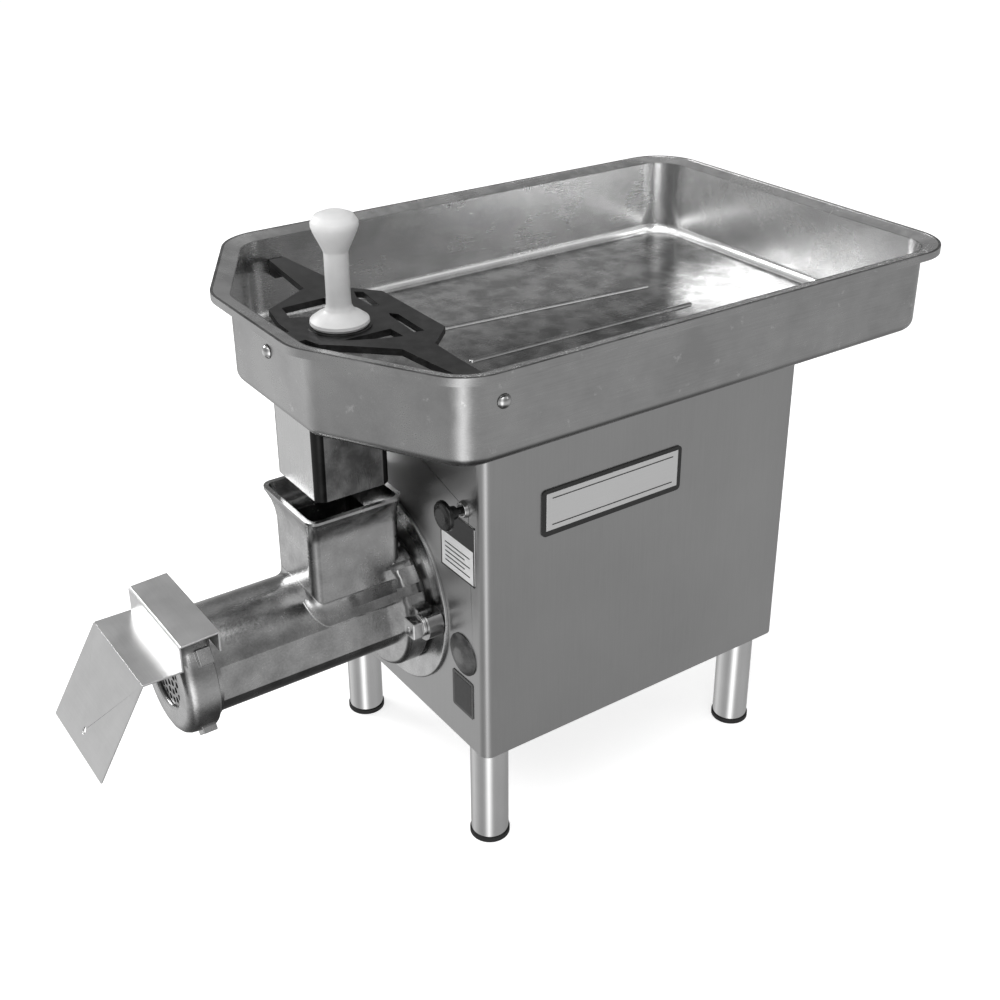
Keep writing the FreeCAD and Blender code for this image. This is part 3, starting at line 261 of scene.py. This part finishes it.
def make_materials():
    m = {}
    m["sheet_steel"] = steel_sheet("sheet_steel", 0.36, 0.41, 0.34, (1, 1, 0.02), 0.03, 5.0).material
    tray = steel_sheet("tray_steel", 0.32, 0.42, 0.25, (1, 0.02, 1), 0.06, 16.0)
    stained(tray, 55, 0.62, 0.14)
    # Painted shade on the up-facing rim and floor, and painted light on the inner walls.
    painted_shade_side(tray, "Z", 0.75, 0.98, 0.85)
    painted_light_inside(tray, 0.46)
    m["tray_steel"] = tray.material
    cast = steel_cast("cast_steel", 0.31, 0.52, 0.22)
    # Painted shade on the casting's upright rounded corners.
    painted_shade_bends(cast, 0.16, 0.40, 0.45)
    m["cast_steel"] = cast.material
    m["ring_steel"] = steel_cast("ring_steel", 0.38, 0.56, 0.24).material
    chute = steel_sheet("chute_steel", 0.50, 0.58, 0.27, (1, 1, 0.02), 0.05, 14.0)
    # Painted shade on the chute's upright corners and on its side that faces +X.
    painted_shade_bends(chute, 0.10, 0.16, 0.06)
    painted_shade_side(chute, "X", 0.55, 0.95, 0.42)
    m["chute_steel"] = chute.material
    m["spout_steel"] = steel_sheet("spout_steel", 0.62, 0.70, 0.34, (0.02, 1, 1), 0.04, 30.0).material
    m["tube_steel"] = steel_sheet("tube_steel", 0.58, 0.66, 0.14, (1, 1, 0.02), 0.04, 10.0).material
    m["bright_steel"] = steel_cast("bright_steel", 0.55, 0.68, 0.18, 60.0, 0.0002).material
    m["machined_steel"] = steel_sheet("machined_steel", 0.30, 0.40, 0.32, (0.02, 1, 1)).material
    m["case_casting"] = steel_cast("case_casting", 0.16, 0.22, 0.5, 90.0, 0.0008).material
    m["motor_paint"] = plain("motor_paint", 0.03, 0.05, 0.42)
    m["guard_metal"] = steel_cast("guard_metal", 0.075, 0.12, 0.40, 90.0, 0.0004).material
    m["plug_steel"] = steel_cast("plug_steel", 0.12, 0.24, 0.34).material
    m["black_rubber"] = plain("black_rubber", 0.008, 0.014, 0.7)
    m["black_plastic"] = plain("black_plastic", 0.004, 0.008, 0.25)
    m["grey_plastic"] = plain("grey_plastic", 0.02, 0.03, 0.5)
    m["white_plastic"] = plain("white_plastic", 0.72, 0.78, 0.38, scale=60.0)
    m["plate_enamel"] = plain("plate_enamel", 0.006, 0.010, 0.32)
    m["label_film"] = plain("label_film", 0.70, 0.78, 0.5)
    m["label_grey"] = plain("label_grey", 0.05, 0.07, 0.5)
    m["label_dark"] = plain("label_dark", 0.02, 0.03, 0.45)
    m["plate_face"] = steel_sheet("plate_face", 0.80, 0.86, 0.45, (1, 0.02, 1)).material
    return m


# Nodes that don't wear the material of their slot.
SPECIAL = {"feed_chute": "chute_steel", "deflector": "spout_steel", "adjusting_ring": "ring_steel",
           "front_flange": "ring_steel", "hole_plug": "plug_steel"}


# ---------------------------------------------------------------- CAD surfaces
BEVELS = {
    "housing_shell": 0.0006, "nameplate": 0.0004, "lock_bolt_r": 0.0006, "lock_bolt_l": 0.0006,
    "adjusting_ring": 0.0012, "deflector": 0.0005, "finger_guard": 0.0012, "tray": 0.0004,
    "feed_chute": 0.0004, "front_flange": 0.0004, "guard_bolts": 0.0005, "switch_knob": 0.0008,
    "switch_nut": 0.0005, "hole_plug": 0.0006, "foot_fr": 0.0006, "foot_fl": 0.0006,
    "foot_rr": 0.0006, "foot_rl": 0.0006, "pusher": 0.0012, "rear_panel": 0.0003,
    "cord_gland": 0.0006, "cutting_plate": 0.0003, "worm": 0.0006, "knife": 0.0005,
}


def finish_cad():
    """Modifiers for smooth faces and soft edges; the nodes' own vertices stay as they are."""
    for name, obj in NODES.items():
        obj.data.shade_smooth()
        weld = obj.modifiers.new("weld", "WELD")
        weld.merge_threshold = 0.000002
        if name in BEVELS:
            bevel = obj.modifiers.new("bevel", "BEVEL")
            bevel.width = BEVELS[name]
            bevel.segments = 3
            bevel.limit_method = "ANGLE"
            bevel.angle_limit = math.radians(38)
            bevel.use_clamp_overlap = True
        else:
            split = obj.modifiers.new("split", "EDGE_SPLIT")
            split.split_angle = math.radians(35)
        tidy = obj.modifiers.new("normals", "WEIGHTED_NORMAL")
        tidy.keep_sharp = True
        tidy.weight = 80


def paint_cad(materials):
    """One material on each node, by its slot or by its own name."""
    slots = {s["node"]: s["material_slot"] for s in frame["record"]["subparts"]}
    for name, obj in NODES.items():
        obj.data.materials.clear()
        obj.data.materials.append(materials[SPECIAL.get(name, slots[name])])


# ---------------------------------------------------------------- added pieces
def mesh_piece(name, build, material, body):
    """A new piece from a bmesh function; it rides on a body."""
    bm = bmesh.new()
    build(bm)
    bmesh.ops.recalc_face_normals(bm, faces=bm.faces)
    data = bpy.data.meshes.new(name)
    bm.to_mesh(data)
    bm.free()
    data.materials.append(material)
    data.shade_smooth()
    obj = bpy.data.objects.new(name, data)
    bpy.context.scene.collection.objects.link(obj)
    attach(obj, body)
    return obj


def slab(bm, low, high):
    """Closed box between two corners."""
    size = [b - a for a, b in zip(low, high)]
    centre = [(a + b) / 2 for a, b in zip(low, high)]
    turn = Matrix.Translation(centre) @ Matrix.Diagonal((*size, 1))
    bmesh.ops.create_cube(bm, size=1.0, matrix=turn)


def round_edges(obj, width):
    bevel = obj.modifiers.new("bevel", "BEVEL")
    bevel.width = width
    bevel.segments = 2
    bevel.limit_method = "ANGLE"
    bevel.angle_limit = math.radians(40)
    tidy = obj.modifiers.new("normals", "WEIGHTED_NORMAL")
    tidy.keep_sharp = True


def nameplate_face(materials):
    """Pale panel inside the plate's dark border, with plain pinstripes."""
    low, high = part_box("nameplate")
    x = high.x

    def panel(bm):
        slab(bm, (x - 0.0004, low.y + 0.005, low.z + 0.006), (x + 0.0003, high.y - 0.005, high.z - 0.004))

    round_edges(mesh_piece("nameplate_face", panel, materials["plate_face"], "base"), 0.0003)

    def stripes(bm):
        for z in (low.z + 0.012, high.z - 0.010):
            slab(bm, (x, low.y + 0.012, z - 0.0006), (x + 0.0005, high.y - 0.012, z + 0.0006))

    round_edges(mesh_piece("nameplate_stripes", stripes, materials["label_dark"], "base"), 0.0001)


def label_print(materials):
    """Generic print: a dark head, a pale body, and rule lines without letters."""
    low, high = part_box("control_label")
    y = low.y
    proud, sunk, line, head_height = 0.0003, 0.0004, 0.0016, 0.027

    def head(bm):
        slab(bm, (low.x, y - proud, high.z - head_height), (high.x, y + sunk, high.z))

    round_edges(mesh_piece("label_head", head, materials["label_dark"], "base"), 0.0002)

    def frame_lines(bm):
        for a, b in (((low.x, low.z), (low.x + line, high.z - head_height)),
                     ((high.x - line, low.z), (high.x, high.z - head_height)),
                     ((low.x, low.z), (high.x, low.z + line))):
            slab(bm, (a[0], y - proud, a[1]), (b[0], y + sunk, b[1]))

    round_edges(mesh_piece("label_frame", frame_lines, materials["label_dark"], "base"), 0.0002)

    margin, pitch, shortfall = 0.008, 0.0052, 0.009

    def rules(bm):
        for i in range(5):
            z = low.z + margin + i * pitch
            end = high.x - margin - shortfall * (i % 2)
            slab(bm, (low.x + margin, y - proud, z), (end, y + proud, z + 0.0012))

    round_edges(mesh_piece("label_rules", rules, materials["grey_plastic"], "base"), 0.0001)

    low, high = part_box("lower_label")
    y = low.y

    border = 0.0035

    def inner(bm):
        slab(bm, (low.x + border, y - proud, low.z + border),
             (high.x - border, y + proud, high.z - border))

    round_edges(mesh_piece("lower_label_face", inner, materials["grey_plastic"], "base"), 0.0002)


NECK_HALF, NECK_FRONT, NECK_CORNER = 0.043, 0.1163, 0.012
# How far before the housing's front sheet the strip ends, inside the rear disc.
STRIP_END = 0.0265
BARREL_RADIUS, FLAT_HALF = 0.0555, 0.0519
FILLET_RADIUS, LIFT_OFF, ROOT = 0.0088, 0.0001, 0.0015
CORNER_STEPS, CURVE_STEPS = 12, 10


def neck_fillet(materials):
    """Cast radius where the neck stands on the barrel: a strip round three sides of the neck."""
    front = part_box("housing_shell")[0].y
    joints = frame["record"]["behaviour"]["joints"]
    axis = next(j for j in joints if j["name"] == "ring_turn")["pos_m"][2]
    near = front - NECK_FRONT
    # Each stop is a place on the neck's outline and the outward direction there.
    path = [(NECK_HALF, front - STRIP_END, 1.0, 0.0)]
    for i in range(CORNER_STEPS + 1):
        turn = -math.pi / 2 * i / CORNER_STEPS
        n = (math.cos(turn), math.sin(turn))
        path.append((NECK_HALF - NECK_CORNER + NECK_CORNER * n[0],
                     near + NECK_CORNER + NECK_CORNER * n[1], *n))
    path += [(-x, y, -a, b) for x, y, a, b in reversed(path)]

    def top(x):
        """Height of the barrel's skin."""
        return axis + math.sqrt(BARREL_RADIUS ** 2 - min(abs(x), FLAT_HALF) ** 2)

    def section(bm, x, y, a, b):
        """Closed loop: a hollow curve from wall to barrel, then back through the metal."""
        wall = (x, y, top(x) + FILLET_RADIUS)
        foot = (x + a * FILLET_RADIUS, y + b * FILLET_RADIUS, top(x + a * FILLET_RADIUS))
        mid = (x, y, top(x))
        loop = []
        for k in range(CURVE_STEPS + 1):
            s = k / CURVE_STEPS
            spot = [(1 - s) ** 2 * w + 2 * s * (1 - s) * c + s ** 2 * f
                    for w, c, f in zip(wall, mid, foot)]
            loop.append((spot[0] + LIFT_OFF * a, spot[1] + LIFT_OFF * b, spot[2] + LIFT_OFF))
        loop.append((foot[0], foot[1], foot[2] - ROOT))
        loop.append((x - ROOT * a, y - ROOT * b, mid[2] - ROOT))
        loop.append((x - ROOT * a, y - ROOT * b, wall[2]))
        return [bm.verts.new(spot) for spot in loop]

    def build(bm):
        rings = [section(bm, *stop) for stop in path]
        for one, two in zip(rings, rings[1:]):
            for k in range(len(one)):
                j = (k + 1) % len(one)
                bm.faces.new((one[k], one[j], two[j], two[k]))
        bm.faces.new(rings[0])
        bm.faces.new(list(reversed(rings[-1])))

    mesh_piece("neck_fillet", build, materials["ring_steel"], "head")


# ---------------------------------------------------------------- room
def area(name, place, aim, size, power):
    """Rectangular lamp aimed at a point."""
    data = bpy.data.lights.new(name, "AREA")
    data.shape = "RECTANGLE"
    data.size, data.size_y = size
    data.energy = power
    obj = bpy.data.objects.new(name, data)
    obj.location = place
    obj.rotation_euler = (Vector(aim) - Vector(place)).to_track_quat("-Z", "Y").to_euler()
    bpy.context.scene.collection.objects.link(obj)


# (share of a full turn from -X, brightness) and (share of the way from straight down to
# straight up, brightness): the surround is the product of the two.
AROUND = [(0.0, 0.24), (0.06, 0.40), (0.10, 0.46), (0.14, 0.40), (0.20, 0.30), (0.26, 0.24), (0.33, 0.26),
          (0.375, 0.9), (0.40, 1.0), (0.425, 0.7), (0.47, 0.22), (0.60, 0.30), (0.75, 0.20), (0.90, 0.22),
          (0.97, 0.26), (1.0, 0.24)]
HEIGHTS = [(0.0, 0.10), (0.10, 0.14), (0.17, 0.9), (0.26, 1.0), (0.40, 1.0), (0.50, 0.62), (0.58, 0.44),
           (0.72, 0.44), (0.80, 0.80), (0.88, 0.8), (0.94, 0.4), (1.0, 0.3)]

SURROUND_STRENGTH = 2.2
PALE = (0.95, 0.95, 0.95, 1)
FLOOR_HALF, FLOOR_GLOW = 30, 0.68


def grey_ramp(tree, value, stops):
    """Smooth grey looked up from (position, brightness) stops."""
    ramp = tree.nodes.new("ShaderNodeValToRGB")
    ramp.color_ramp.interpolation = "B_SPLINE"
    while len(ramp.color_ramp.elements) < len(stops):
        ramp.color_ramp.elements.new(0.5)
    for element, (at, grey) in zip(ramp.color_ramp.elements, stops):
        element.position = at
        element.color = (grey, grey, grey, 1)
    tree.links.new(value, ramp.inputs["Fac"])
    return ramp.outputs["Color"]


def studio_sky():
    """Surround of bright and dim panels, laid out for the main view; the camera itself sees near white."""
    world = bpy.data.worlds.new("world")
    bpy.context.scene.world = world
    world.use_nodes = True
    tree = world.node_tree
    background = tree.nodes["Background"]
    where = tree.nodes.new("ShaderNodeTexCoord")
    split = tree.nodes.new("ShaderNodeSeparateXYZ")
    tree.links.new(where.outputs["Generated"], split.inputs[0])
    angle = tree.nodes.new("ShaderNodeMath")
    angle.operation = "ARCTAN2"
    tree.links.new(split.outputs["Y"], angle.inputs[0])
    tree.links.new(split.outputs["X"], angle.inputs[1])
    parts = []
    for value, low, high, stops in ((angle.outputs[0], -math.pi, math.pi, AROUND),
                                    (split.outputs["Z"], -1, 1, HEIGHTS)):
        scale = tree.nodes.new("ShaderNodeMapRange")
        scale.inputs["From Min"].default_value = low
        scale.inputs["From Max"].default_value = high
        tree.links.new(value, scale.inputs["Value"])
        parts.append(grey_ramp(tree, scale.outputs["Result"], stops))
    blend = tree.nodes.new("ShaderNodeMix")
    blend.data_type = "RGBA"
    blend.blend_type = "MULTIPLY"
    blend.inputs[MIX_FACTOR].default_value = 1.0
    tree.links.new(parts[0], blend.inputs[MIX_A])
    tree.links.new(parts[1], blend.inputs[MIX_B])
    tree.links.new(blend.outputs[MIX_COLOUR], background.inputs["Color"])
    background.inputs["Strength"].default_value = SURROUND_STRENGTH
    pale = tree.nodes.new("ShaderNodeBackground")
    pale.inputs["Color"].default_value = PALE
    pick = tree.nodes.new("ShaderNodeMixShader")
    path = tree.nodes.new("ShaderNodeLightPath")
    tree.links.new(path.outputs["Is Camera Ray"], pick.inputs["Fac"])
    tree.links.new(background.outputs[0], pick.inputs[1])
    tree.links.new(pale.outputs[0], pick.inputs[2])
    tree.links.new(pick.outputs[0], tree.nodes["World Output"].inputs["Surface"])


def room():
    """Surround, pale floor, three soft lamps and the view transform."""
    studio_sky()
    bm = bmesh.new()
    bmesh.ops.create_grid(bm, x_segments=1, y_segments=1, size=FLOOR_HALF)
    data = bpy.data.meshes.new("floor")
    bm.to_mesh(data)
    bm.free()
    floor = bpy.data.objects.new("floor", data)
    paint = Paint("floor", (0.88, 0.88, 0.88), 0.0, 0.9)
    paint.grey(paint.noise(4, 2.0, 0.5), 0.87, 0.89)
    paint.shader.inputs["Emission Color"].default_value = (1, 1, 1, 1)
    paint.shader.inputs["Emission Strength"].default_value = FLOOR_GLOW
    data.materials.append(paint.material)
    bpy.context.scene.collection.objects.link(floor)
    # Hidden from mirror rays, so the steel reflects the surround and not the floor.
    floor.visible_glossy = False
    floor.visible_shadow = False

    area("key", (0.5, -0.6, 2.6), (0, 0, 0.3), (2.4, 2.4), 30)
    area("right", (1.75, 1.65, 1.65), (-0.1, 0.1, 0.52), (1.2, 0.9), 2)
    area("left", (-2.1, -1.1, 1.6), (0, 0.3, 0.5), (1.3, 0.8), 30)
    view = bpy.context.scene.view_settings
    view.view_transform = "Standard"
    view.look = "None"


make_camera()
MATERIALS = make_materials()
finish_cad()
paint_cad(MATERIALS)
nameplate_face(MATERIALS)
label_print(MATERIALS)
neck_fillet(MATERIALS)
room()
bpy.context.view_layer.update()
